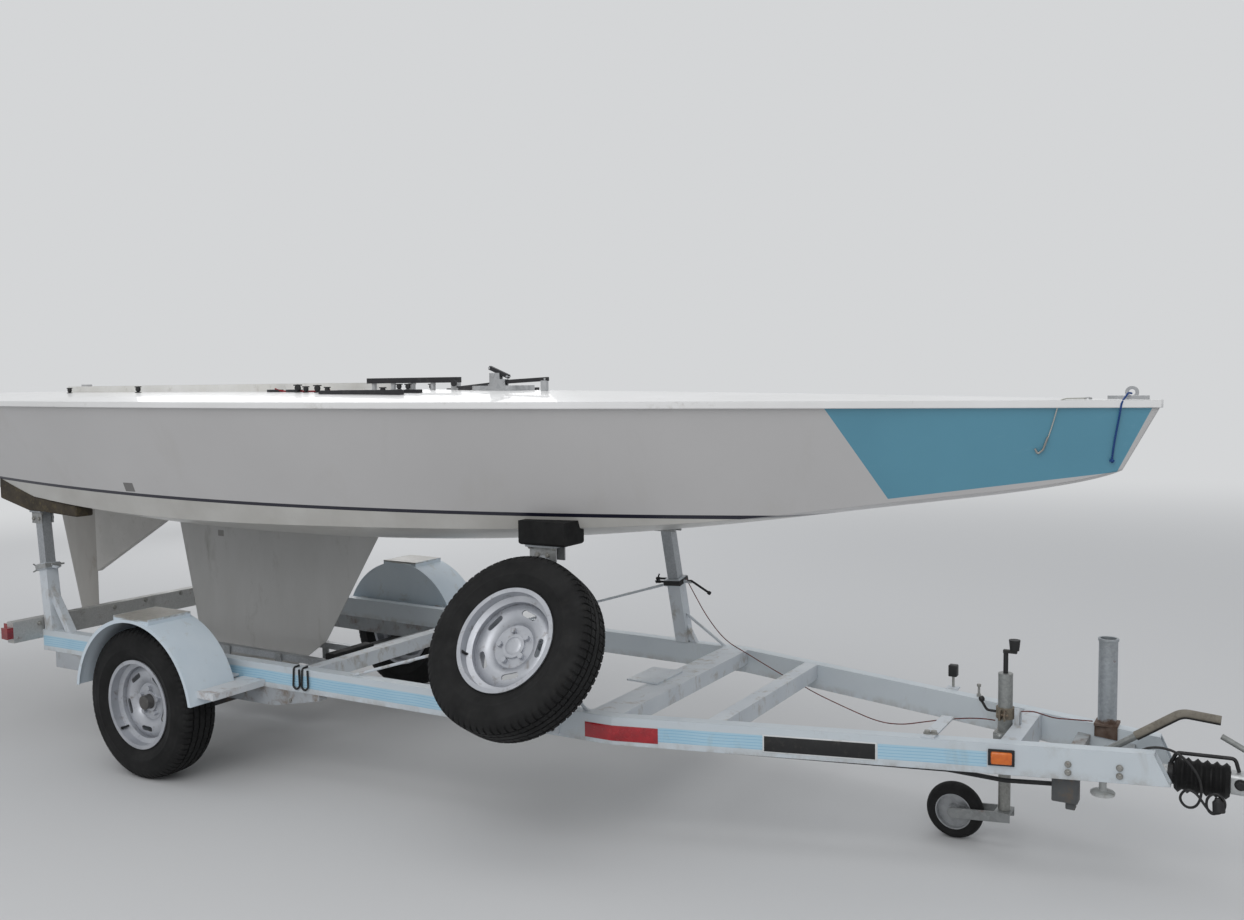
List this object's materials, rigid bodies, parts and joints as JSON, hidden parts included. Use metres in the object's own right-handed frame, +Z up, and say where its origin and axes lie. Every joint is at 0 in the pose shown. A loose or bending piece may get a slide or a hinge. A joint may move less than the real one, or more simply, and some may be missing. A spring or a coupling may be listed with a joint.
{
  "type": "keelboat on a road trailer",
  "caption": "Hard-chine racing keelboat with fin keel, skeg and rudder, parked on a single-axle trailer with bunks, keel cradle, spare wheel and jockey wheel.",
  "frame": {"origin": "on the ground, under the middle of the whole object's length and width", "axes": "+X to the bow and the coupling, +Y to port, +Z up"},
  "size_m": [7.2911, 1.9264, 1.7299],
  "materials": {
    "hull_paint": "glossy, pale grey-white with navy boot stripe",
    "deck_gelcoat": "satin white",
    "keel_iron": "painted grey-white",
    "frame_paint": "bluish white paint, dusty",
    "zinc": "dull galvanised",
    "tyre": "matt black",
    "rim": "silver paint",
    "rubber": "matt black",
    "aluminium": "cast, satin",
    "bunk_cover": "carpet",
    "red_lens": "glossy",
    "black_fitting": "satin black",
    "steel": "polished"
  },
  "bodies": {
    "base": {"hull": "hull_paint", "deck": "deck_gelcoat", "cockpit_coaming": "deck_gelcoat", "keel_bulb": "keel_iron", "keel_fin": "keel_iron", "skeg": "hull_paint", "side_rails": "frame_paint", "cross_members": "frame_paint", "rear_beam": "frame_paint", "rear_lamps": "red_lens", "suspension_subframe": "frame_paint", "torsion_half_axles": "zinc", "keel_cradle_beams": "frame_paint", "keel_tray": "zinc", "keel_stop_pad": "rubber", "fenders": "zinc", "fender_brackets": "zinc", "bunk_post_sleeves": "zinc", "bunk_post_tubes": "zinc", "rear_bunks": "bunk_cover", "middle_pads": "rubber", "spare_tyre": "tyre", "spare_rim": "rim", "spare_wheel_carrier": "zinc", "jockey_outer_tube": "zinc", "jockey_crank": "zinc", "coupling_mount": "zinc", "coupling_head": "aluminium", "coupling_gaiter": "rubber", "coupling_levers": "zinc", "mast_post": "zinc", "deck_tracks": "black_fitting", "deck_fittings": "steel"},
    "wheel_port": {"wheel_tyre_port": "tyre", "wheel_rim_port": "rim", "wheel_hub_port": "zinc"},
    "wheel_starboard": {"wheel_tyre_starboard": "tyre", "wheel_rim_starboard": "rim", "wheel_hub_starboard": "zinc"},
    "rudder": {"rudder_blade": "hull_paint", "rudder_stock": "steel"},
    "jockey_leg": {"jockey_leg": "zinc"},
    "jockey_fork": {"jockey_fork": "zinc"},
    "jockey_wheel": {"jockey_tyre": "tyre", "jockey_rim": "rim"}
  },
  "joints": [
    {"name": "wheel_port_spin", "type": "hinge", "parent": "base", "child": "wheel_port", "pos_m": [-0.59111, 0.84021, 0.324], "axis": [0, 1, 0], "continuous": true},
    {"name": "wheel_starboard_spin", "type": "hinge", "parent": "base", "child": "wheel_starboard", "pos_m": [-0.59111, -0.80379, 0.324], "axis": [0, 1, 0], "continuous": true},
    {"name": "rudder_steer", "type": "hinge", "parent": "base", "child": "rudder", "pos_m": [-2.16482, 0.01821, 1.05989], "axis": [0.0227, 0, 0.9997], "range_deg": [-35, 35]},
    {"name": "jockey_raise", "type": "slide", "parent": "base", "child": "jockey_leg", "axis": [-0.0227, 0, -0.9997], "range_m": [-0.1, 0.08]},
    {"name": "jockey_swivel", "type": "hinge", "parent": "jockey_leg", "child": "jockey_fork", "pos_m": [2.79255, 0.01821, 0.09426], "axis": [0.0227, 0, 0.9997], "continuous": true},
    {"name": "jockey_wheel_spin", "type": "hinge", "parent": "jockey_fork", "child": "jockey_wheel", "pos_m": [2.62759, 0.01821, 0.098], "axis": [0, 1, 0], "continuous": true}
  ]
}
